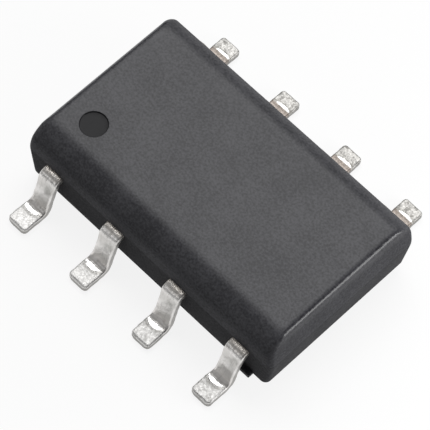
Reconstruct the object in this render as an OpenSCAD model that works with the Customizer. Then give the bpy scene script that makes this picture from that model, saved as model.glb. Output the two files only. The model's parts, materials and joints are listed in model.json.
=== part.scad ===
// Eight-lead gull-wing small-outline chip.
// Millimetres. +X runs along the rows of leads, +Z is up, and the origin is on the
// board surface, midway between the two rows. Lead 1 is at the low X, low Y corner,
// and the numbers go round the body in order.

/* [Moulding] */
// Length of the moulding at its parting line
body_l = 4.97; // [4.94:0.01:5.2]
// Width of the moulding at its parting line
body_w = 2.97; // [2.9:0.01:2.98]
// Height of the top face above the board
top_z = 1.41; // [1.38:0.01:1.7]
// Height of the underside above the board
standoff = 0.17; // [0.1:0.01:0.25]
// Draft of the end walls above the parting line, in degrees
end_draft_top = 9; // [5:1:12]
// Draft of the end walls below the parting line, in degrees
end_draft_bottom = 6; // [3:1:9]
// Draft of the long walls, in degrees
side_draft = 3; // [1:1:6]
// Radius of the two long top edges
long_edge_r = 0.38; // [0.2:0.01:0.45]
// Radius of the two short top edges
end_edge_r = 0.1; // [0.02:0.01:0.12]
// Radius of the underside edges
bottom_edge_r = 0.03; // [0.01:0.01:0.06]
// Radius of the four upright corners, in plan
corner_r = 0.1; // [0.05:0.01:0.2]

/* [Pin 1 recess] */
// Diameter of the round recess that marks lead 1
recess_d = 0.43; // [0.3:0.01:0.6]
// Depth of the recess
recess_depth = 0.05; // [0.02:0.01:0.08]
// Distance of the recess from the middle of the body, along the rows
recess_x = 1.85; // [1.6:0.01:1.9]
// Distance of the recess from the middle of the body, across the rows
recess_y = 0.76; // [0.6:0.01:0.8]

/* [Leads] */
// Distance from one lead to the next
pitch = 1.27; // [1.25:0.01:1.29]
// Width of a lead outside the moulding
lead_w = 0.34; // [0.3:0.01:0.42]
// Thickness of the lead frame sheet
lead_t = 0.13; // [0.1:0.01:0.15]
// Height of the lead's top face where it leaves the moulding
lead_top_z = 0.82; // [0.78:0.01:0.84]
// Distance from lead tip to lead tip across the body
lead_span = 4.48; // [4.4:0.01:4.8]
// Lean of the upright part of a lead, in degrees
lead_lean = 15; // [10:1:16]
// Inside radius of the bend at the shoulder
shoulder_r = 0.035; // [0.035:0.005:0.04]
// Inside radius of the bend above the foot
heel_r = 0.1; // [0.06:0.01:0.12]
// Radius of the foot's corners, in plan
toe_r = 0.06; // [0.02:0.01:0.1]

/* [Inside] */
// Length of the die paddle, along the rows
paddle_l = 1.9; // [1.6:0.05:2]
// Width of the die paddle, across the rows
paddle_w = 1.24; // [1.1:0.02:1.3]
// Length of the silicon die
die_l = 1.1; // [1:0.02:1.2]
// Width of the silicon die
die_w = 0.84; // [0.8:0.02:0.9]
// Thickness of the silicon die
die_t = 0.2; // [0.15:0.01:0.22]
// Thickness of the adhesive under the die
attach_t = 0.02; // [0.01:0.005:0.03]
// Diameter of the bond wires
wire_d = 0.05; // [0.03:0.005:0.06]
// Rise of a bond wire above the line between its ends
wire_rise = 0.15; // [0.1:0.01:0.18]

/* [Hidden] */
$fn = 64;

side = 4;                 // leads on each long side
reach = 10;               // longer than the part, for cuts that pass through it
parting_z = lead_top_z + 0.02;
corner_steps = 6;
edge_step = 7.5;

// Lead profile, measured outward from the middle of the body
tip_u = lead_span / 2;
miter = lead_t * tan((90 - lead_lean) / 2);
shoulder_u = body_w / 2 + 0.013 + (shoulder_r + lead_t) * tan((90 - lead_lean) / 2);
heel_u = shoulder_u + (lead_top_z - lead_t) * tan(lead_lean);
tip_edge_r = 0.03;

// Lead frame inside the moulding
anchor_w = 0.54;          // wide part that locks a lead in the moulding
anchor_out = 1.38;
anchor_in = 1.18;
finger_w = 0.26;
finger_end = 0.8;         // where the fingers stop, short of the paddle
finger_shift = 0.65;      // how far a corner finger leans in towards the paddle
ground_end = 0.5;
inner_r = 0.04;

die_top_z = lead_top_z + attach_t + die_t;
attach_rim = 0.03;
ball_d = 0.1;
ball_h = 0.03;

// Bit of moulding left at the gate, low on the long wall beside lead 4
gate_end = 2.17;
gate_l = 0.24;
gate_h = 0.09;
gate_out = 0.065;

plastic = "#48484a";
tin = "#c4c2be";
silver_epoxy = "#9a9a98";
silicon = "#5d6472";
gold = "#d8b45a";

// ---- Outlines -------------------------------------------------------------

function unit(v) = v / norm(v);

// Area between a corner and the arc of radius r that rounds it
module corner_sliver(before, corner, after, r) {
    a = unit(before - corner);
    b = unit(after - corner);
    half = acos(a * b) / 2;
    centre = corner + unit(a + b) * r / sin(half);
    difference() {
        polygon([corner, corner + a * r / tan(half), centre, corner + b * r / tan(half)]);
        translate(centre) circle(r);
    }
}

// Outline with each corner rounded to its own radius; the points run anticlockwise
module rounded_outline(points, radii) {
    last = len(points) - 1;
    before = [for (i = [0:last]) points[i == 0 ? last : i - 1]];
    after = [for (i = [0:last]) points[i == last ? 0 : i + 1]];
    bulges = [for (i = [0:last]) cross(points[i] - before[i], after[i] - points[i]) > 0];
    difference() {
        union() {
            polygon(points);
            for (i = [0:last])
                if (radii[i] > 0 && !bulges[i])
                    corner_sliver(before[i], points[i], after[i], radii[i]);
        }
        for (i = [0:last])
            if (radii[i] > 0 && bulges[i])
                corner_sliver(before[i], points[i], after[i], radii[i]);
    }
}

// ---- Lead frame -----------------------------------------------------------

// Side view of a lead: flat inside the moulding, then shoulder, upright, heel and foot
module lead_profile() {
    rounded_outline(
        [[0, lead_top_z - lead_t], [shoulder_u - miter, lead_top_z - lead_t],
         [heel_u - miter, 0], [tip_u, 0], [tip_u, lead_t], [heel_u, lead_t],
         [shoulder_u, lead_top_z], [0, lead_top_z]],
        [0, shoulder_r, heel_r + lead_t, 0, tip_edge_r, heel_r, shoulder_r + lead_t, 0]);
}

// Plan view of a lead, with its inner end moved along the row by shift and rounded to end_r
module lead_plan(shift, inner_end, end_r) {
    rounded_outline(
        [[shift - finger_w / 2, inner_end], [shift + finger_w / 2, inner_end],
         [finger_w / 2, anchor_in], [anchor_w / 2, anchor_in],
         [anchor_w / 2, anchor_out], [lead_w / 2, anchor_out],
         [lead_w / 2, tip_u], [-lead_w / 2, tip_u],
         [-lead_w / 2, anchor_out], [-anchor_w / 2, anchor_out],
         [-anchor_w / 2, anchor_in], [-finger_w / 2, anchor_in]],
        [end_r, end_r, 0, inner_r, inner_r, 0, toe_r, toe_r, 0, inner_r, inner_r, 0]);
}

// Plan view of the paddle and the strip that joins it to the ground lead
module paddle_plan(lead_x) {
    translate([-paddle_l / 2 - lead_x, -paddle_w / 2]) square([paddle_l, paddle_w]);
    translate([paddle_l / 2 - lead_x, ground_end])
        square([lead_x - paddle_l / 2 - finger_shift, paddle_w / 2 - ground_end]);
}

// Where lead n stands in the row, seen from its own side
function row_x(n) = ((n - 1) % side - (side - 1) / 2) * pitch;

// Corner fingers lean in towards the paddle and the middle ones run straight
function lean_in(n) = abs(row_x(n)) > pitch ? -sign(row_x(n)) * finger_shift : 0;

// Turns a piece made for the near row round to the far row where n asks for it
module on_its_side(n) {
    rotate(n > side ? 180 : 0) children();
}

module lead(n) {
    ground = n == side;
    color(tin)
        on_its_side(n)
            translate([row_x(n), 0, 0]) mirror([0, 1, 0])
                intersection() {
                    rotate([90, 0, 90])
                        translate([0, 0, -reach / 2]) linear_extrude(reach)
                            union() {
                                lead_profile();
                                if (ground)
                                    translate([-paddle_w, lead_top_z - lead_t])
                                        square([2 * paddle_w, lead_t]);
                            }
                    linear_extrude(reach)
                        union() {
                            if (ground) {
                                lead_plan(lean_in(n), ground_end, 0);
                                paddle_plan(row_x(n));
                            } else
                                lead_plan(lean_in(n), finger_end, inner_r);
                        }
                }
}

// ---- Die and wires --------------------------------------------------------

module die_attach() {
    color(silver_epoxy)
        translate([-die_l / 2 - attach_rim, -die_w / 2 - attach_rim, lead_top_z])
            cube([die_l + 2 * attach_rim, die_w + 2 * attach_rim, attach_t]);
}

module silicon_die() {
    color(silicon)
        translate([-die_l / 2, -die_w / 2, lead_top_z + attach_t])
            cube([die_l, die_w, die_t]);
}

// Bond pad on the die for wire n, for the near side
function pad_at(n) = [row_x(n) * 0.22, -die_w / 2 + 0.09];

// Landing of wire n: its lead's finger, or for the ground wire the paddle beside the die
function landing_at(n) = n == side
    ? [paddle_l / 2 - 0.14, -0.42]
    : [row_x(n) + lean_in(n), -finger_end - 0.09];

// Wire n leaves a flattened ball on the die and comes down on the frame in one arc
module bond_wire(n) {
    from = pad_at(n);
    to = landing_at(n);
    flat = norm(to - from);
    drop = die_top_z + ball_h - lead_top_z;
    chord = norm([flat, drop]);
    radius = (chord * chord / 4 + wire_rise * wire_rise) / (2 * wire_rise);
    half = asin(chord / 2 / radius);
    color(gold)
        on_its_side(n)
            difference() {
                translate([from.x, from.y, die_top_z]) {
                    cylinder(h = ball_h, d = ball_d, $fn = 24);
                    rotate(atan2(to.y - from.y, to.x - from.x))
                        translate([0, 0, ball_h]) rotate([0, atan2(drop, flat), 0])
                            translate([chord / 2, 0, wire_rise - radius])
                                rotate([90, 0, 0]) rotate(90 - half)
                                    rotate_extrude(angle = 2 * half)
                                        translate([radius, 0]) circle(d = wire_d, $fn = 16);
                }
                translate([-reach / 2, -reach / 2, lead_top_z - reach])
                    cube([reach, reach, reach]);
                translate([-die_l / 2, -die_w / 2, lead_top_z])
                    cube([die_l, die_w, die_top_z - lead_top_z]);
            }
}

// ---- Moulding -------------------------------------------------------------

// How far a round of radius r has drawn a wall in, at a given depth from the flat face
function drawn_in(depth, r) = depth < r ? r - sqrt(r * r - pow(r - depth, 2)) : 0;

// Half length and half width of the moulding at height z
function half_length(z) = body_l / 2
    - abs(z - parting_z) * tan(z > parting_z ? end_draft_top : end_draft_bottom)
    - drawn_in(top_z - z, end_edge_r) - drawn_in(z - standoff, bottom_edge_r);
function half_width(z) = body_w / 2 - abs(z - parting_z) * tan(side_draft)
    - drawn_in(top_z - z, long_edge_r) - drawn_in(z - standoff, bottom_edge_r);

// Rounded rectangle at height z, as points that run anticlockwise
function ring(z) = [for (quarter = [0:3]) for (step = [0:corner_steps])
    let (turn = 90 * (quarter + step / corner_steps),
        sx = quarter == 0 || quarter == 3 ? 1 : -1,
        sy = quarter < 2 ? 1 : -1)
    [sx * (half_length(z) - corner_r) + corner_r * cos(turn),
     sy * (half_width(z) - corner_r) + corner_r * sin(turn), z]];

// Loft of the rings: underside round, parting line, then up and over the long top edges
module moulding() {
    heights = concat(
        [for (a = [0:45:90]) standoff + bottom_edge_r * (1 - cos(a))],
        [parting_z],
        [for (a = [0:edge_step:90]) top_z - long_edge_r * (1 - sin(a))]);
    around = 4 * (corner_steps + 1);
    last = len(heights) - 1;
    polyhedron(
        points = [for (z = heights) each ring(z)],
        faces = concat(
            [[for (i = [0:around - 1]) i]],
            [for (k = [0:last - 1]) for (i = [0:around - 1])
                let (j = (i + 1) % around, low = k * around, high = low + around)
                [low + i, high + i, high + j, low + j]],
            [[for (i = [around - 1:-1:0]) last * around + i]]));
}

module gate_stub() {
    translate([gate_end - gate_l, -body_w / 2 - gate_out, standoff])
        cube([gate_l, gate_out * 3, gate_h]);
}

module pin_1_recess() {
    translate([-recess_x, -recess_y, top_z - recess_depth])
        cylinder(h = 2 * recess_depth, d1 = recess_d - recess_depth, d2 = recess_d + recess_depth);
}

module body() {
    color(plastic)
        difference() {
            union() {
                moulding();
                gate_stub();
            }
            pin_1_recess();
            for (n = [1:2 * side]) {
                lead(n);
                bond_wire(n);
            }
            die_attach();
            silicon_die();
        }
}

// ---- Assembly -------------------------------------------------------------

body();
for (n = [1:2 * side]) {
    lead(n);
    bond_wire(n);
}
die_attach();
silicon_die();
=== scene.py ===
import json
import math

import bmesh
import bpy
from mathutils import Matrix, Vector

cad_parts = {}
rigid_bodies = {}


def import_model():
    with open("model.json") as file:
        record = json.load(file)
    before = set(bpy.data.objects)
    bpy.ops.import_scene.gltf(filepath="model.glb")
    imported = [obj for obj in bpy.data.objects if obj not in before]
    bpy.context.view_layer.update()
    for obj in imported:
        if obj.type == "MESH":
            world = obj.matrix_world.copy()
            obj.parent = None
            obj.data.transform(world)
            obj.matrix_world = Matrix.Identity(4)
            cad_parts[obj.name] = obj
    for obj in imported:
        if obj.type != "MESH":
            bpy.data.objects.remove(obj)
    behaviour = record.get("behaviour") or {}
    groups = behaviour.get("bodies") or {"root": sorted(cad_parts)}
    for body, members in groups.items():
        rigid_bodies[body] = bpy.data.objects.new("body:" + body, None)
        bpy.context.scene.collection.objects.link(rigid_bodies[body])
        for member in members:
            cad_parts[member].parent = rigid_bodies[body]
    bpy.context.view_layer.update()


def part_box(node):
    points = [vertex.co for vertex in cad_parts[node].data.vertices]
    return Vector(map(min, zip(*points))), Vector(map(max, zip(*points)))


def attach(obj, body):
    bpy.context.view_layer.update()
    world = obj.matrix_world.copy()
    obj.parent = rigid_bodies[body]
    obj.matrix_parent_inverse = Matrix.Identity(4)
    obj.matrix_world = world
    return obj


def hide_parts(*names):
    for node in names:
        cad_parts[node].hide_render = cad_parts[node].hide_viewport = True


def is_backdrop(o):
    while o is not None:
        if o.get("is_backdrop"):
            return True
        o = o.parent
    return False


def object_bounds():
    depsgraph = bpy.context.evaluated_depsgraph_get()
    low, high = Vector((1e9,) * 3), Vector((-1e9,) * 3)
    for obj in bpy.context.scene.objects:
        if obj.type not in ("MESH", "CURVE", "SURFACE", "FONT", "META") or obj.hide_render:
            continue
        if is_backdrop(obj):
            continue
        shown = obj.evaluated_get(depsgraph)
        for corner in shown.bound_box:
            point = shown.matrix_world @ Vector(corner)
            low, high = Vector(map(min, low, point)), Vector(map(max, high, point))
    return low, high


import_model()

# ---- Moulded body -----------------------------------------------------------------
# Black epoxy moulding compound, transfer-moulded in one shot round the lead frame.
# The two mould halves meet at the parting line, level with the lead frame, and each
# wall drafts in from there. The two long top edges have a large round.

MM = 0.001
body_low, body_high = (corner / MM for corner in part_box("body"))
parting_half_length = body_high.x
parting_half_width = body_high.y
top_z = body_high.z
underside_z = body_low.z
parting_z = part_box("lead_2")[1].z / MM + 0.02
end_draft_above = math.radians(9)
end_draft_below = math.radians(6)
side_draft = math.radians(3)
long_edge_r = 0.38
end_edge_r = 0.10
underside_edge_r = 0.03
corner_r = 0.10
crest_r = 0.06               # the two drafts meet in a soft crest at the parting line
flat_margin = 0.012          # flat ring round the top, so that its shading stays flat
corner_steps = 12
long_steps = 60
short_steps = 32


def drawn_in(depth, radius):
    """How far a round has drawn a wall in, at a depth from the flat face it runs into."""
    if depth >= radius:
        return 0.0
    return radius - math.sqrt(max(radius ** 2 - (radius - depth) ** 2, 0.0))


def from_parting(z):
    """Distance from the parting line, eased so that the two drafts meet in a soft crest."""
    return math.hypot(z - parting_z, crest_r) - crest_r


def half_length(z):
    draft = end_draft_above if z > parting_z else end_draft_below
    return (parting_half_length - from_parting(z) * math.tan(draft)
            - drawn_in(top_z - z, end_edge_r) - drawn_in(z - underside_z, underside_edge_r))


def half_width(z):
    return (parting_half_width - from_parting(z) * math.tan(side_draft)
            - drawn_in(top_z - z, long_edge_r) - drawn_in(z - underside_z, underside_edge_r))


def body_ring(z):
    """Points of a rounded rectangle at height z, anticlockwise from the +X side."""
    length, width = half_length(z), half_width(z)
    points = []
    for quarter in range(4):
        sx = 1 if quarter in (0, 3) else -1
        sy = 1 if quarter < 2 else -1
        centre = Vector((sx * (length - corner_r), sy * (width - corner_r), z))
        for step in range(corner_steps):
            turn = math.radians(90) * (quarter + step / corner_steps)
            points.append(centre + corner_r * Vector((math.cos(turn), math.sin(turn), 0)))
        end_turn = math.radians(90) * (quarter + 1)
        start = centre + corner_r * Vector((math.cos(end_turn), math.sin(end_turn), 0))
        steps = long_steps if quarter % 2 == 0 else short_steps
        straight = 2 * ((length if quarter % 2 == 0 else width) - corner_r)
        along = Vector((-math.sin(end_turn), math.cos(end_turn), 0))
        points += [start + along * straight * i / steps for i in range(steps)]
    return points


def skin(mesh, rings):
    """Joins rings of points with faces, each ring to the next, and returns their vertices."""
    made = [[mesh.verts.new(point) for point in ring] for ring in rings]
    for low, high in zip(made, made[1:]):
        for i in range(len(low)):
            j = (i + 1) % len(low)
            mesh.faces.new((low[i], low[j], high[j], high[i]))
    return made


def finished(name, mesh, *materials):
    """Turns a bmesh in millimetres into a smooth object in metres, at the origin."""
    data = bpy.data.meshes.new(name)
    mesh.to_mesh(data)
    mesh.free()
    data.transform(Matrix.Scale(MM, 4))
    data.shade_smooth()
    for material in materials:
        data.materials.append(material)
    piece = bpy.data.objects.new(name, data)
    bpy.context.scene.collection.objects.link(piece)
    return piece


def linear(hex_colour):
    """An sRGB hex colour as linear RGBA."""
    parts = [int(hex_colour[i:i + 2], 16) / 255 for i in (1, 3, 5)]
    return [c / 12.92 if c <= 0.04045 else ((c + 0.055) / 1.055) ** 2.4 for c in parts] + [1.0]


def add(tree, kind, links=None, output=0, **settings):
    """Adds a node and returns one output. links gives each input a value or its source."""
    node = tree.nodes.new(kind)
    for name, value in settings.items():
        setattr(node, name, value)
    for name, value in (links or {}).items():
        if isinstance(value, bpy.types.NodeSocket):
            tree.links.new(value, node.inputs[name])
        else:
            node.inputs[name].default_value = value
    return node.outputs[output]


def material_tree(name):
    """A new material, its node tree and its Principled shader."""
    material = bpy.data.materials.new(name)
    material.use_nodes = True
    tree = material.node_tree
    return material, tree, tree.nodes["Principled BSDF"]


def per_metre(size_mm):
    """Noise scale whose features are about size_mm across on Object coordinates."""
    return 1 / (size_mm * MM)


def colour_stops(ramp_output, stops):
    """Gives a colour ramp its stops, each a position and a hex colour."""
    elements = ramp_output.node.color_ramp.elements
    for extra in stops[1:-1]:
        elements.new(extra[0])
    for element, (position, hex_colour) in zip(elements, stops):
        element.position = position
        element.color = linear(hex_colour)


# Epoxy moulding compound from a spark-eroded mould: a fine matt grain with faint pale
# silica grains and slow shade changes, which keeps the black body a soft dark grey. The
# cavity walls are eroded coarser than its floor, so the sides are duller than the top,
# and the short top edges come out glossy because the tool is stoned sharp there.
grain_size = 0.035           # drawn coarser than the real silica, so that it shows
grain_height = 0.003
cloud_size = 0.6
cloud_share = 0.3
dark_share, pale_share = 0.38, 0.62
top_roughness = 0.45
stoned_roughness = 0.16
dulled = (top_z - 0.04, top_z - 0.22)        # heights over which the wall grows dull
stoned_out = (parting_half_length - 0.15, parting_half_length - 0.13)
stoned_up = (top_z - 0.08, top_z - 0.04)


def moulding_compound(name, dark, pale, wall_roughness, gloss):
    """Compound shaded between two hex colours, with its own wall roughness and gloss."""
    material, tree, shader = material_tree(name)
    place = add(tree, "ShaderNodeTexCoord", output="Object")
    x = add(tree, "ShaderNodeSeparateXYZ", {0: place}, "X")
    z = add(tree, "ShaderNodeSeparateXYZ", {0: place}, "Z")
    grain = add(tree, "ShaderNodeTexNoise",
                {"Vector": place, "Scale": per_metre(grain_size), "Detail": 3.0})
    cloud = add(tree, "ShaderNodeTexNoise",
                {"Vector": place, "Scale": per_metre(cloud_size), "Detail": 2.0})
    shade = add(tree, "ShaderNodeMix", {0: cloud_share, 2: grain, 3: cloud})
    colour = add(tree, "ShaderNodeValToRGB", {"Fac": shade})
    colour_stops(colour, [(dark_share, dark), (pale_share, pale)])
    wall = add(tree, "ShaderNodeMapRange", {"Value": z, 1: dulled[0] * MM, 2: dulled[1] * MM,
                                            3: top_roughness, 4: wall_roughness})
    out = add(tree, "ShaderNodeMath", {0: x}, operation="ABSOLUTE")
    stoned = [add(tree, "ShaderNodeMapRange", {"Value": value, 1: start * MM, 2: end * MM})
              for value, (start, end) in ((out, stoned_out), (z, stoned_up))]
    stoned = add(tree, "ShaderNodeMath", {0: stoned[0], 1: stoned[1]}, operation="MULTIPLY")
    rough = add(tree, "ShaderNodeMix", {0: stoned, 2: wall, 3: stoned_roughness})
    bump = add(tree, "ShaderNodeBump",
               {"Strength": 1.0, "Distance": grain_height * MM, "Height": grain})
    tree.links.new(colour, shader.inputs["Base Color"])
    tree.links.new(rough, shader.inputs["Roughness"])
    tree.links.new(bump, shader.inputs["Normal"])
    shader.inputs["Specular IOR Level"].default_value = gloss
    return material


compound = moulding_compound("epoxy_moulding_compound", "#2e2e32", "#4c4c50", 0.78, 0.42)
lower_compound = moulding_compound("epoxy_off_coarse_cavity", "#323235", "#4b4b4d", 0.85, 0.22)

# The dimple over lead 1 is left by a polished pin in the mould, so its floor is smooth.
polished_compound, tree, shader = material_tree("epoxy_off_polished_pin")
place = add(tree, "ShaderNodeTexCoord", output="Object")
cloud = add(tree, "ShaderNodeTexNoise", {"Vector": place, "Scale": per_metre(0.08), "Detail": 2.0})
colour = add(tree, "ShaderNodeValToRGB", {"Fac": cloud})
colour_stops(colour, [(0.0, "#232325"), (1.0, "#28282a")])
tree.links.new(colour, shader.inputs["Base Color"])
shader.inputs["Roughness"].default_value = 0.3
shader.inputs["Specular IOR Level"].default_value = 0.1

# The rings lie close together in the rounds and where the two drafts meet
wall_steps = (-0.35, -0.2, -0.12, -0.08, -0.05, -0.025, 0, 0.025, 0.05, 0.08, 0.12)
heights = [underside_z + underside_edge_r * (1 - math.cos(math.radians(a)))
           for a in range(0, 91, 15)]
heights += [parting_z + step for step in wall_steps]
heights += [top_z - long_edge_r * (1 - math.sin(math.radians(a))) for a in range(0, 91, 3)]
rings = [body_ring(z) for z in heights]
rings.append([point - flat_margin * Vector((point.x, point.y, 0)).normalized()
              for point in rings[-1]])

moulding = bmesh.new()
skins = skin(moulding, rings)
moulding.faces.new(list(reversed(skins[0])))

# Dimple: a small round at the rim, a steep wall, a round at the foot and a flat floor
dimple_x = -1.85
dimple_y = -0.76
dimple_r = 0.215
dimple_depth = 0.022
dimple_rim_r = 0.006
dimple_foot_r = 0.012
dimple_steps = 96
floor_z = top_z - dimple_depth
outline = [(dimple_r + dimple_rim_r + flat_margin, top_z)]
outline += [(dimple_r + dimple_rim_r * (1 - math.sin(math.radians(a))),
             top_z - dimple_rim_r * (1 - math.cos(math.radians(a))))
            for a in (0, 22.5, 45, 67.5, 90)]
outline += [(dimple_r - dimple_foot_r * (1 - math.cos(math.radians(a))),
             floor_z + dimple_foot_r * (1 - math.sin(math.radians(a))))
            for a in (0, 30, 60, 90)]
outline += [(dimple_r * share, floor_z) for share in (0.6, 0.3)]
turns = [2 * math.pi * i / dimple_steps for i in range(dimple_steps)]
dimple = skin(moulding, [[Vector((dimple_x + r * math.cos(t), dimple_y + r * math.sin(t), z))
                          for t in turns] for r, z in outline])
moulding.faces.new(dimple[-1])
bmesh.ops.triangle_fill(moulding, use_beauty=True,
                        edges=[edge for edge in moulding.edges if edge.is_boundary])
bmesh.ops.recalc_face_normals(moulding, faces=moulding.faces)
dimple_middle = Vector((dimple_x, dimple_y))
for face in moulding.faces:
    middle = face.calc_center_median()
    if middle.z < parting_z:
        face.material_index = 2
    elif (middle.to_2d() - dimple_middle).length < dimple_r:
        face.material_index = 1

# Gate remnant: the stub of epoxy that broke off where the mould was filled
gate_edge_r = 0.012
gate_low = Vector((1.93, body_low.y, underside_z))
gate_high = Vector((2.17, -1.40, underside_z + 0.09))


def eased_block(mesh, low, high, edge_r, segments, unit=1.0):
    """Adds a block with eased edges between two corners in millimetres; unit scales it."""
    block = bmesh.ops.create_cube(mesh, size=1.0, matrix=Matrix.Scale(unit, 4)
                                  @ Matrix.Translation((low + high) / 2)
                                  @ Matrix.Diagonal((high - low).to_4d()))
    edges = list({edge for vert in block["verts"] for edge in vert.link_edges})
    bmesh.ops.bevel(mesh, geom=edges, offset=edge_r * unit, segments=segments,
                    affect="EDGES", profile=0.5)


eased_block(moulding, gate_low, gate_high, gate_edge_r, 3)
moulded_body = finished("moulded_body", moulding, compound, polished_compound, lower_compound)
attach(moulded_body, "root")
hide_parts("body")

# ---- Leads ----------------------------------------------------------------------------
# Eight gull-wing leads, stamped from copper-alloy strip, matt tin plated and then bent by a
# forming die, which leaves a spank mark where the foot starts. Each runs from a finger
# inside the body, out level with the parting line, down and out to a flat foot.

side_leads = 4
lead_low, lead_high = (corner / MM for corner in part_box("lead_2"))
pitch = (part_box("lead_3")[0].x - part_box("lead_2")[0].x) / MM
lead_w = 0.34
lead_t = 0.13
lead_edge_r = 0.028
lead_lean = math.radians(15)
shoulder_r = 0.035
heel_r = 0.10
toe_r = 0.06
tip_edge_r = 0.03
tip_u = -lead_low.y
finger_end = -lead_high.y
lead_top_z = lead_high.z
half_t = lead_t / 2
bend = math.radians(90) - lead_lean
exit_gap = 0.013             # flat of the lead between the body and its first bend
shoulder_out = parting_half_width + exit_gap + (shoulder_r + lead_t) * math.tan(bend / 2)
shoulder_corner = Vector((shoulder_out - half_t * math.tan(bend / 2), lead_top_z - half_t))
heel_corner = shoulder_corner + Vector((math.tan(lead_lean), -1)) * (lead_top_z - lead_t)
station = 0.012              # spacing of the cross-sections along a lead

# Inside the body: wings that lock the lead, then a finger that leans to the middle
anchor_w, anchor_out, anchor_in = 0.54, 1.38, 1.18
anchor_step = 0.01
finger_w, finger_shift, ground_end = 0.26, 0.65, 0.5
# The ground lead carries the die paddle, joined to its finger by a short strap
paddle_low = Vector((-0.95, -0.62, lead_top_z - lead_t))
paddle_high = Vector((0.95, 0.62, lead_top_z))
strap_low = Vector((0.93, -0.62, lead_top_z - lead_t))
strap_high = Vector((1.255, -0.50, lead_top_z))
plate_edge_r = 0.015

# Marks of the forming tools. On the far row the mark and its painted highlight sit nearer the
# toe, and the feet carry more flecks and swirls and a painted shade. Runs and ends are distances
# along the lead from its tip.
mark_depth = 0.004
lip_height = 0.002
lip_middle, lip_reach = 1.3, 0.28            # shares of the mark's own radius
upper_face = 0.3
ripple = 0.020
ripple_length = 1 / 7
seed_step = 3.7
foot_spread, foot_fades = 0.012, (0.55, 0.35)
waist, waist_starts, waist_ends = 0.010, (0.50, 0.65), (1.08, 0.95)
skew_fades = (0.2, 1.1)
near_mark = {"Mark end": 0.365, "Mark length": 0.09, "Mark half width": 0.125}
far_mark = {"Mark end": 0.245, "Mark length": 0.045, "Mark half width": 0.12}
mark_across = -0.025
skews = [-0.026, -0.018, 0.006, -0.030, 0.010, -0.012, 0.008, 0.014]
# Values over 1 mark the far row, whose feet and heels also take painted shade
wear_and_far_shade_levels = [0.25, 0.3, 0.8, 0.9, 1.9, 1.7, 1.8, 1.6]


def strip_path(inner_end):
    """Centre line of a lead from its tip inwards, as (distance out, height, run from the tip)."""
    points = [Vector((tip_u, half_t)), heel_corner, shoulder_corner,
              Vector((inner_end, lead_top_z - half_t))]
    radii = [0, heel_r + half_t, shoulder_r + half_t, 0]
    line = [points[0]]
    for corner, after, radius in zip(points[1:], points[2:] + [None], radii[1:]):
        start = line[-1]
        arrive = (corner - start).normalized()
        cut = radius * math.tan(bend / 2) if radius else 0
        length = (corner - start).length - cut
        steps = max(1, round(length / station))
        line += [start + arrive * length * i / steps for i in range(1, steps + 1)]
        if radius:
            leave = (after - corner).normalized()
            turns = max(6, round(radius * bend / station))
            side = 1 if arrive.x * leave.y - arrive.y * leave.x > 0 else -1
            centre = line[-1] + radius * side * Vector((-arrive.y, arrive.x))
            spoke = line[-1] - centre
            for i in range(1, turns + 1):
                a = side * bend * i / turns
                line.append(centre + Vector((spoke.x * math.cos(a) - spoke.y * math.sin(a),
                                             spoke.x * math.sin(a) + spoke.y * math.cos(a))))
    runs = [0.0]
    for before, point in zip(line, line[1:]):
        runs.append(runs[-1] + (point - before).length)
    return [(point.x, point.y, run) for point, run in zip(line, runs)]


def ramp(value, start, end):
    """0 before start, 1 after end, and straight between them; end may be the smaller."""
    return min(1.0, max(0.0, (value - start) / (end - start)))


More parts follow.
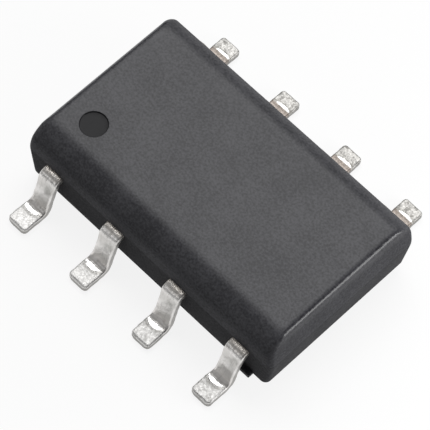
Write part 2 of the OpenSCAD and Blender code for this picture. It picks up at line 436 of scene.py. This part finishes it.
def lead_group():
    """Node tree that sweeps a rounded strip along a lead's centre line, then works its surface."""
    tree = bpy.data.node_groups.new("formed_lead", "GeometryNodeTree")
    sockets = [("Centre line", "Geometry")]
    sockets += [(name, "Float") for name in (
        "Width", "Thickness", "Edge radius", "Ripple", "Seed", "Mark end", "Mark length",
        "Mark across", "Mark half width", "Wear and far shade")]
    sockets += [("Place", "Vector"), ("Turn", "Vector"), ("Finish", "Material")]
    for name, kind in sockets:
        tree.interface.new_socket(name, in_out="INPUT", socket_type="NodeSocket" + kind)
    tree.interface.new_socket("Lead", in_out="OUTPUT", socket_type="NodeSocketGeometry")
    sizes = tree.nodes.new("NodeGroupInput").outputs
    where = add(tree, "GeometryNodeInputPosition")
    run, widen, shift, drop, upward, across, mark_share, lip_share = [
        add(tree, "GeometryNodeInputNamedAttribute", {"Name": name}, data_type="FLOAT")
        for name in ("run", "widen", "shift", "drop", "upward", "across", "mark_and_highlight", "lip")]

    # A strip with eased edges, which knows how high in its thickness each point lies
    path = add(tree, "GeometryNodeMeshToCurve", {"Mesh": sizes["Centre line"]})
    path = add(tree, "GeometryNodeSetCurveNormal", {"Curve": path}, mode="Z_UP")
    section = add(tree, "GeometryNodeCurvePrimitiveQuadrilateral",
                  {"Width": sizes["Width"], "Height": sizes["Thickness"]})
    section = add(tree, "GeometryNodeFilletCurve",
                  {"Curve": section, "Count": 5, "Radius": sizes["Edge radius"]}, mode="POLY")
    section = add(tree, "GeometryNodeResampleCurve",
                  {"Curve": section, "Length": station}, mode="LENGTH")
    height = add(tree, "ShaderNodeSeparateXYZ", {0: where}, "Y")
    height = add(tree, "ShaderNodeMath", {0: height, 1: sizes["Thickness"]}, operation="DIVIDE")
    height = add(tree, "ShaderNodeMath", {0: height, 1: -1.0}, operation="MULTIPLY")
    section = add(tree, "GeometryNodeStoreNamedAttribute",
                  {"Geometry": section, "Name": "upward", "Value": height},
                  data_type="FLOAT", domain="POINT")
    strip = add(tree, "GeometryNodeCurveToMesh",
                {"Curve": path, "Profile Curve": section, "Fill Caps": True})

    # Plan shape: wings, finger and rounded toe. The tip's upper edge is rounded over.
    x = add(tree, "ShaderNodeSeparateXYZ", {0: where}, "X")
    strip = add(tree, "GeometryNodeStoreNamedAttribute",
                {"Geometry": strip, "Name": "across", "Value": x},
                data_type="FLOAT", domain="POINT")
    half = add(tree, "ShaderNodeMath", {0: sizes["Width"], 1: 0.5}, operation="MULTIPLY")
    side = add(tree, "ShaderNodeMath", {0: across, 1: half}, operation="DIVIDE")
    sideways = add(tree, "ShaderNodeMath", {0: side, 1: widen, 2: shift},
                   operation="MULTIPLY_ADD")
    above = add(tree, "ShaderNodeMath", {0: upward, 1: 0.5}, operation="ADD")
    down = add(tree, "ShaderNodeMath", {0: above, 1: drop}, operation="MULTIPLY")
    down = add(tree, "ShaderNodeMath", {0: down, 1: -1.0}, operation="MULTIPLY")
    offset = add(tree, "ShaderNodeCombineXYZ", {"X": sideways, "Z": down})
    strip = add(tree, "GeometryNodeSetPosition", {"Geometry": strip, "Offset": offset})

    # Mark of the forming punch: a shallow half moon with its straight side along the heel
    # and a low lip of pushed-up metal round the other side
    along = add(tree, "ShaderNodeMath", {0: sizes["Mark end"], 1: run}, operation="SUBTRACT")
    along = add(tree, "ShaderNodeMath", {0: along, 1: sizes["Mark length"]}, operation="DIVIDE")
    wide = add(tree, "ShaderNodeMath", {0: across, 1: sizes["Mark across"]},
               operation="SUBTRACT")
    wide = add(tree, "ShaderNodeMath", {0: wide, 1: sizes["Mark half width"]},
               operation="DIVIDE")
    apart = add(tree, "ShaderNodeCombineXYZ", {"X": along, "Y": wide})
    apart = add(tree, "ShaderNodeVectorMath", {0: apart}, "Value", operation="LENGTH")
    off_rim = add(tree, "ShaderNodeMath", {0: apart, 1: lip_middle}, operation="SUBTRACT")
    off_rim = add(tree, "ShaderNodeMath", {0: off_rim}, operation="ABSOLUTE")
    topside = add(tree, "ShaderNodeMath", {0: upward, 1: upper_face},
                  operation="GREATER_THAN")
    past_heel, mark_and_highlight, lip = [
        add(tree, "ShaderNodeMapRange", {"Value": value, 1: start, 2: end},
            interpolation_type="SMOOTHSTEP")
        for value, start, end in ((along, -0.25, 0.25), (apart, 1.08, 0.92),
                                  (off_rim, lip_reach, 0.0))]
    topside = add(tree, "ShaderNodeMath", {0: topside, 1: past_heel}, operation="MULTIPLY")
    mark_and_highlight = add(tree, "ShaderNodeMath", {0: mark_and_highlight, 1: topside}, operation="MULTIPLY")
    lip = add(tree, "ShaderNodeMath", {0: lip, 1: topside}, operation="MULTIPLY")
    # The mark also carries the painted highlight of the plating, and the lip a painted shade
    for name, value in (("mark_and_highlight", mark_and_highlight), ("lip", lip), ("wear_and_far_shade", sizes["Wear and far shade"])):
        strip = add(tree, "GeometryNodeStoreNamedAttribute",
                    {"Geometry": strip, "Name": name, "Value": value},
                    data_type="FLOAT", domain="POINT")

    # Plating and handling leave the strip slightly uneven. The sole and the cut tip stay flat.
    moved = add(tree, "ShaderNodeMath", {0: sizes["Seed"], 1: seed_step}, operation="MULTIPLY")
    moved = add(tree, "ShaderNodeCombineXYZ", {"Z": moved})
    moved = add(tree, "ShaderNodeVectorMath", {0: where, 1: moved}, operation="ADD")
    swell = add(tree, "ShaderNodeTexNoise",
                {"Vector": moved, "Scale": 1 / ripple_length, "Detail": 3.0})
    swell = add(tree, "ShaderNodeMath", {0: swell, 1: 0.5}, operation="SUBTRACT")
    swell = add(tree, "ShaderNodeMath", {0: swell, 1: sizes["Ripple"]}, operation="MULTIPLY")
    for share, lift in ((mark_share, -mark_depth), (lip_share, lip_height)):
        swell = add(tree, "ShaderNodeMath", {0: share, 1: lift, 2: swell},
                    operation="MULTIPLY_ADD")
    normal = add(tree, "GeometryNodeInputNormal")
    swell = add(tree, "ShaderNodeVectorMath", {0: normal, 3: swell}, operation="SCALE")
    strip = add(tree, "GeometryNodeSetPosition", {"Geometry": strip, "Offset": swell})
    no_limit = -10
    flat = add(tree, "ShaderNodeVectorMath", {0: where, 1: (no_limit, -tip_u, 0)},
               operation="MAXIMUM")
    strip = add(tree, "GeometryNodeSetPosition", {"Geometry": strip, "Position": flat})
    strip = add(tree, "GeometryNodeSetShadeSmooth", {"Geometry": strip, "Shade Smooth": True})
    strip = add(tree, "GeometryNodeTransform",
                {"Geometry": strip, "Rotation": sizes["Turn"], "Translation": sizes["Place"]})
    strip = add(tree, "GeometryNodeTransform", {"Geometry": strip, "Scale": (MM, MM, MM)})
    strip = add(tree, "GeometryNodeRealizeInstances", {"Geometry": strip})
    strip = add(tree, "GeometryNodeSetMaterial",
                {"Geometry": strip, "Material": sizes["Finish"]})
    tree.links.new(strip, tree.nodes.new("NodeGroupOutput").inputs["Lead"])
    return tree


# Matt tin plating over copper alloy: a soft silver with faint streaks along the lead where
# the die rubbed it, grey flecks on the foot and a brownish stain where it leaves the body,
# with painted light and shade along each lead, on its sides and on the far feet. The punch
# mark is burnished smooth, and its near-white colour is a painted highlight.
tin, tree, shader = material_tree("matt_tin_plating")
place = add(tree, "ShaderNodeTexCoord", output="Object")
run, across, upward, mark_and_highlight, lip, wear_and_far_shade = [
    add(tree, "ShaderNodeAttribute", output="Fac", attribute_name=name)
    for name in ("run", "across", "upward", "mark_and_highlight", "lip", "wear_and_far_shade")]
# Mottling, fine grain and swirls, each by its size in millimetres
mottle, fine, swirl = [
    add(tree, "ShaderNodeTexNoise", {"Vector": place, "Scale": per_metre(size), "Detail": detail})
    for size, detail in ((0.11, 4.0), (0.028, 3.0), (0.05, 2.0))]

# Streaks are drawn out along the lead, and each lead has its own
streak_size, streak_stretch, streak_seed = 0.03, 0.14, 9.0
drawn_out = add(tree, "ShaderNodeMath", {0: run, 1: streak_stretch}, operation="MULTIPLY")
seeded = add(tree, "ShaderNodeMath", {0: wear_and_far_shade, 1: streak_seed}, operation="MULTIPLY")
streak = add(tree, "ShaderNodeCombineXYZ", {"X": across, "Y": drawn_out, "Z": seeded})
streak = add(tree, "ShaderNodeTexNoise",
             {"Vector": streak, "Scale": 1 / streak_size, "Detail": 2.0})

# A dull smudge on the upper part of the upright, as a distance from its middle
smudge_middle, smudge_reach = (0.07, 0.97, 0), (0.09, 0.16)
smudge = add(tree, "ShaderNodeCombineXYZ", {"X": across, "Y": run})
smudge = add(tree, "ShaderNodeVectorMath", {0: smudge, 1: smudge_middle}, operation="SUBTRACT")
smudge = add(tree, "ShaderNodeVectorMath",
             {0: smudge, 1: (1 / smudge_reach[0], 1 / smudge_reach[1], 0)}, operation="MULTIPLY")
smudge = add(tree, "ShaderNodeVectorMath", {0: smudge}, "Value", operation="LENGTH")

# Painted light and shade along the lead, from the tip (0) to the body (1), over an uneven
# front: painted shade at the toe, in the heel and along the upright, painted highlights on the
# upright and on the shoulder bend, and a brownish stain where it leaves the body
run_to_body, unevenness = 1.30, 0.10
along_lead = add(tree, "ShaderNodeMath", {0: mottle, 1: unevenness, 2: -unevenness / 2},
                 operation="MULTIPLY_ADD")
along_lead = add(tree, "ShaderNodeMath", {0: run, 1: along_lead}, operation="ADD")
along_lead = add(tree, "ShaderNodeMath", {0: along_lead, 1: run_to_body}, operation="DIVIDE")
base = add(tree, "ShaderNodeValToRGB", {"Fac": along_lead})
colour_stops(base, [
    (0.00, "#e2e1df"), (0.08, "#efeeec"), (0.26, "#efeeec"), (0.30, "#e6e3e0"),
    (0.42, "#ebe8e5"), (0.54, "#e2e0dd"), (0.63, "#f1efed"), (0.74, "#dbd9d6"),
    (0.84, "#dfddda"), (0.87, "#f8f6f4"), (0.92, "#f2ece5"), (1.00, "#e2d8cc")])

# Each zone follows a value smoothly: where it starts and is full, and what it goes from and to
zone = {}
for name, value, start, full, low, high in (
        ("on_foot", run, 0.36, 0.26, 0.0, 1.0),
        ("off_foot", run, 0.30, 0.42, 0.0, 1.0),
        ("past_far_mark", run, 0.23, 0.27, 0.0, 1.0),
        ("shoulder_outside", run, 1.06, 1.10, 0.0, 1.0),
        ("shoulder_inside", run, 1.20, 1.15, 0.0, 1.0),
        ("worn", wear_and_far_shade, 0.2, 1.9, 0.0, 1.0),
        # Painted shade on the far feet
        ("far_foot_painted_shade", wear_and_far_shade, 1.0, 1.8, 0.0, 0.85),
        ("far", wear_and_far_shade, 1.0, 1.6, 0.0, 1.0),
        # Painted shade round the lip, stronger on the far row
        ("lip_painted_shade", wear_and_far_shade, 1.0, 1.6, 0.55, 0.85),
        # Painted shade on the sides and underside
        ("side_painted_shade", upward, 0.36, 0.18, 0.0, 1.0),
        ("flecked", mottle, 0.50, 0.68, 0.0, 1.0),
        ("swirled", swirl, 0.50, 0.60, 0.0, 1.0),
        ("streaked", streak, 0.52, 0.75, 0.0, 1.0),
        ("smudged", smudge, 1.2, 0.2, 0.0, 1.0),
        ("smudge_edge", mottle, 0.35, 0.55, 0.0, 1.0),
        ("foot_roughness", fine, 0.3, 0.7, 0.50, 0.64),
        ("rest_roughness", fine, 0.3, 0.7, 0.36, 0.50)):
    zone[name] = add(tree, "ShaderNodeMapRange",
                     {"Value": value, 1: start, 2: full, 3: low, 4: high},
                     interpolation_type="SMOOTHSTEP")

# Layers over the plating and painted light, in order: the factors of how far each covers it, and
# its colour
for factors, hex_colour in (
        # Painted shade: the far row's feet a darker grey
        ((zone["on_foot"], zone["far_foot_painted_shade"]), "#c3c1bd"),
        ((zone["flecked"], wear_and_far_shade, zone["on_foot"], 0.6), "#a3a29f"),
        ((zone["swirled"], zone["worn"], zone["on_foot"], 0.7), "#85837f"),
        ((zone["streaked"], zone["off_foot"], 0.35), "#a7a4a0"),
        ((zone["smudged"], zone["smudge_edge"], 0.45), "#8e908b"),
        # Painted shade: the far row's heels darker beyond the mark
        ((zone["far"], zone["past_far_mark"], 0.9), "#8d837b"),
        # Painted shade: a grey line round the lip of the mark
        ((lip, zone["lip_painted_shade"]), "#a2a09a"),
        # Painted highlight: the punch mark near white
        ((mark_and_highlight,), "#fbfaf8"),
        # Painted shade: the sides and underside of each lead greyer
        ((zone["side_painted_shade"], 0.85), "#9c9a97")):
    share = factors[0]
    for factor in factors[1:]:
        share = add(tree, "ShaderNodeMath", {0: share, 1: factor}, operation="MULTIPLY")
    base = add(tree, "ShaderNodeMix", {0: share, 6: base, 7: linear(hex_colour)}, 2,
               data_type="RGBA")

# The shoulder is rubbed a little smoother than the rest, and the punch mark much smoother
rough = add(tree, "ShaderNodeMix",
            {0: zone["on_foot"], 2: zone["rest_roughness"], 3: zone["foot_roughness"]})
shoulder = add(tree, "ShaderNodeMath",
               {0: zone["shoulder_outside"], 1: zone["shoulder_inside"]}, operation="MULTIPLY")
for share, change in ((shoulder, -0.06), (mark_and_highlight, -0.24)):
    rough = add(tree, "ShaderNodeMath", {0: share, 1: change, 2: rough},
                operation="MULTIPLY_ADD")
relief_height = 0.006
relief = add(tree, "ShaderNodeMix", {0: 0.5, 2: fine, 3: mottle})
relief = add(tree, "ShaderNodeMix", {0: mark_and_highlight, 2: relief, 3: 0.5})
bump = add(tree, "ShaderNodeBump",
           {"Strength": 1.0, "Distance": relief_height * MM, "Height": relief})
tree.links.new(base, shader.inputs["Base Color"])
tree.links.new(rough, shader.inputs["Roughness"])
tree.links.new(bump, shader.inputs["Normal"])
shader.inputs["Metallic"].default_value = 1.0

group = lead_group()
inputs = {item.name: item.identifier for item in group.interface.items_tree
          if item.in_out == "INPUT"}
for number in range(1, 2 * side_leads + 1):
    far = number > side_leads
    ground = number == side_leads
    row_x = ((number - 1) % side_leads - (side_leads - 1) / 2) * pitch
    lean_in = -math.copysign(finger_shift, row_x) if abs(row_x) > pitch else 0
    inner = ground_end if ground else finger_end
    line = strip_path(inner)
    centre_line = bpy.data.meshes.new("centre_line")
    centre_line.from_pydata([(0, -u, z) for u, z, run in line],
                            [(i, i + 1) for i in range(len(line) - 1)], [])
    for name in ("run", "widen", "shift", "drop"):
        centre_line.attributes.new(name, "FLOAT", "POINT")
    for i, (u, z, run) in enumerate(line):
        wing = (ramp(u, anchor_out + anchor_step, anchor_out)
                * ramp(u, anchor_in - anchor_step, anchor_in))
        finger = ramp(u, anchor_in, anchor_in - anchor_step)
        spread = (foot_spread * ramp(run, *foot_fades)
                  - waist * ramp(run, *waist_starts) * ramp(run, *waist_ends))
        values = {
            "run": run,
            "widen": (wing * (anchor_w - lead_w) / 2 + finger * (finger_w - lead_w) / 2
                      - drawn_in(run, toe_r) + spread),
            "shift": (lean_in * ramp(u, anchor_in, inner)
                      + skews[number - 1] * (1 - ramp(run, *skew_fades))),
            "drop": drawn_in(run, tip_edge_r)}
        for name, value in values.items():
            centre_line.attributes[name].data[i].value = value
    pattern = bpy.data.objects.new("lead_pattern", centre_line)
    bpy.context.scene.collection.objects.link(pattern)
    forming = pattern.modifiers.new("forming", "NODES")
    forming.node_group = group
    settings = {"Width": lead_w, "Thickness": lead_t, "Edge radius": lead_edge_r,
                "Ripple": ripple, "Seed": float(number), "Mark across": mark_across,
                "Wear and far shade": wear_and_far_shade_levels[number - 1], "Place": (-row_x if far else row_x, 0, 0),
                "Turn": (0, 0, math.pi if far else 0), "Finish": tin,
                **(far_mark if far else near_mark)}
    for name, value in settings.items():
        forming[inputs[name]] = value
    evaluated = pattern.evaluated_get(bpy.context.evaluated_depsgraph_get())
    data = bpy.data.meshes.new_from_object(evaluated)
    bpy.data.objects.remove(pattern)
    data.name = f"formed_lead_{number}"
    if ground:
        frame_metal = bmesh.new()
        frame_metal.from_mesh(data)
        eased_block(frame_metal, paddle_low, paddle_high, plate_edge_r, 2, MM)
        eased_block(frame_metal, strap_low, strap_high, plate_edge_r, 2, MM)
        frame_metal.to_mesh(data)
        frame_metal.free()
    lead = bpy.data.objects.new(data.name, data)
    bpy.context.scene.collection.objects.link(lead)
    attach(lead, "root")
    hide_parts(f"lead_{number}")

# ---- Die, adhesive and bond wires -----------------------------------------------------
# Sealed in the moulding: the silicon die is glued to the paddle with silver-filled epoxy,
# and eight gold wires, ball-bonded on the die, take its pads to the lead fingers.


def speckled(name, dark, pale, size_mm, metallic, roughness):
    """A material whose colour varies between two shades in specks about size_mm across."""
    material, tree, shader = material_tree(name)
    place = add(tree, "ShaderNodeTexCoord", output="Object")
    specks = add(tree, "ShaderNodeTexNoise",
                 {"Vector": place, "Scale": per_metre(size_mm), "Detail": 2.0})
    colour = add(tree, "ShaderNodeMix", {0: specks, 6: linear(dark), 7: linear(pale)}, 2,
                 data_type="RGBA")
    tree.links.new(colour, shader.inputs["Base Color"])
    shader.inputs["Metallic"].default_value = metallic
    shader.inputs["Roughness"].default_value = roughness
    return material


# Silver flakes in epoxy, polished silicon under its clear oxide, and drawn gold wire
silver_epoxy = speckled("silver_filled_epoxy", "#8d8e90", "#c6c7c8", 0.02, 0.6, 0.5)
silicon = speckled("polished_silicon", "#565a63", "#636873", 0.2, 0.9, 0.15)
gold = speckled("gold_bond_wire", "#cfa03a", "#e0b650", 0.03, 1.0, 0.22)
bpy.data.objects["die_attach"].material_slots[0].material = silver_epoxy
bpy.data.objects["silicon_die"].material_slots[0].material = silicon
for number in range(1, 2 * side_leads + 1):
    bpy.data.objects[f"bond_wire_{number}"].material_slots[0].material = gold

# ---- Stage, light and camera ---------------------------------------------------------
# A white table under the part. A large softbox hangs over it from behind. Four small ones
# lift the short edges, the leads and the right end, and leave the near side dark.

table_half = 3000
table_glow = 0.86
world_strength = 0.12
floor_mesh = bmesh.new()
bmesh.ops.create_grid(floor_mesh, x_segments=1, y_segments=1, size=table_half)
stage_floor = finished("stage_floor", floor_mesh)
table, tree, shader = material_tree("white_table")
shader.inputs["Base Color"].default_value = linear("#b4b4b4")
shader.inputs["Roughness"].default_value = 0.9
shader.inputs["Specular IOR Level"].default_value = 0.0
# The camera and reflections see it white; light that bounces off it is that of a grey table
rays = add(tree, "ShaderNodeLightPath").node.outputs
seen = rays["Is Camera Ray"]
for kind in ("Is Glossy Ray", "Is Transmission Ray"):
    seen = add(tree, "ShaderNodeMath", {0: seen, 1: rays[kind]}, operation="MAXIMUM")
glow = add(tree, "ShaderNodeEmission", {"Strength": table_glow})
lit = add(tree, "ShaderNodeBsdfDiffuse", {"Color": linear("#707070")})
white = add(tree, "ShaderNodeAddShader", {0: glow, 1: lit})
surface = add(tree, "ShaderNodeMixShader", {0: seen, 1: shader.outputs[0], 2: white})
tree.links.new(surface, tree.nodes["Material Output"].inputs["Surface"])
stage_floor.data.materials.append(table)
stage_floor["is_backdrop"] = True

view_azimuth = math.radians(39.747)
view_elevation = math.radians(62.611)
view_roll = math.radians(5.964)
view_distance = 42.665
view_aim = Vector((0, 0, 0.8))
view_left, view_down = 0.0685, 0.3033
lens = 246.4
sensor_width = 36
back = Vector((math.sin(view_azimuth) * math.cos(view_elevation),
               -math.cos(view_azimuth) * math.cos(view_elevation),
               math.sin(view_elevation)))
level = Vector((0, 0, 1)).cross(back).normalized()
rise = back.cross(level)
right = math.cos(view_roll) * level + math.sin(view_roll) * rise
up = math.cos(view_roll) * rise - math.sin(view_roll) * level
aim = view_aim - view_left * right - view_down * up
camera_data = bpy.data.cameras.new("camera")
camera_data.sensor_width = sensor_width
camera_data.lens = lens
camera_data.clip_start = 0.001
camera_data.clip_end = 10
camera = bpy.data.objects.new("camera", camera_data)
bpy.context.scene.collection.objects.link(camera)
camera.matrix_world = (Matrix.Translation((aim + view_distance * back) * MM)
                       @ Matrix((right, up, back)).transposed().to_4x4())
bpy.context.scene.camera = camera

scene = bpy.context.scene
scene.view_settings.view_transform = "Standard"
world = bpy.data.worlds.new("studio")
scene.world = world
world.use_nodes = True
world.node_tree.nodes["Background"].inputs["Color"].default_value = (1, 1, 1, 1)
world.node_tree.nodes["Background"].inputs["Strength"].default_value = world_strength


def softbox(name, azimuth, elevation, distance, width, height, watts):
    """Soft lamp aimed at the part. Azimuth 0 stands at +Y and 90 at +X; sizes in millimetres."""
    data = bpy.data.lights.new(name, "AREA")
    data.shape = "RECTANGLE"
    data.size = width * MM
    data.size_y = height * MM
    data.energy = watts
    lamp = bpy.data.objects.new(name, data)
    a, e = math.radians(azimuth), math.radians(elevation)
    towards = Vector((math.sin(a) * math.cos(e), math.cos(a) * math.cos(e), math.sin(e)))
    lamp.location = towards * distance * MM
    lamp.rotation_mode = "QUATERNION"
    lamp.rotation_quaternion = towards.to_track_quat("Z", "Y")
    bpy.context.scene.collection.objects.link(lamp)


softbox("key_lamp", -32, 60, 60, 50, 40, 0.0235)
softbox("left_lamp", -100, 32, 60, 40, 30, 0.0015)
softbox("strip_lamp", -100, 73, 60, 7, 30, 0.0006)
softbox("front_lamp", 200, 32, 60, 22, 16, 0.0014)
softbox("right_lamp", 64, 17, 12, 8, 4, 0.00058)

low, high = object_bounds()
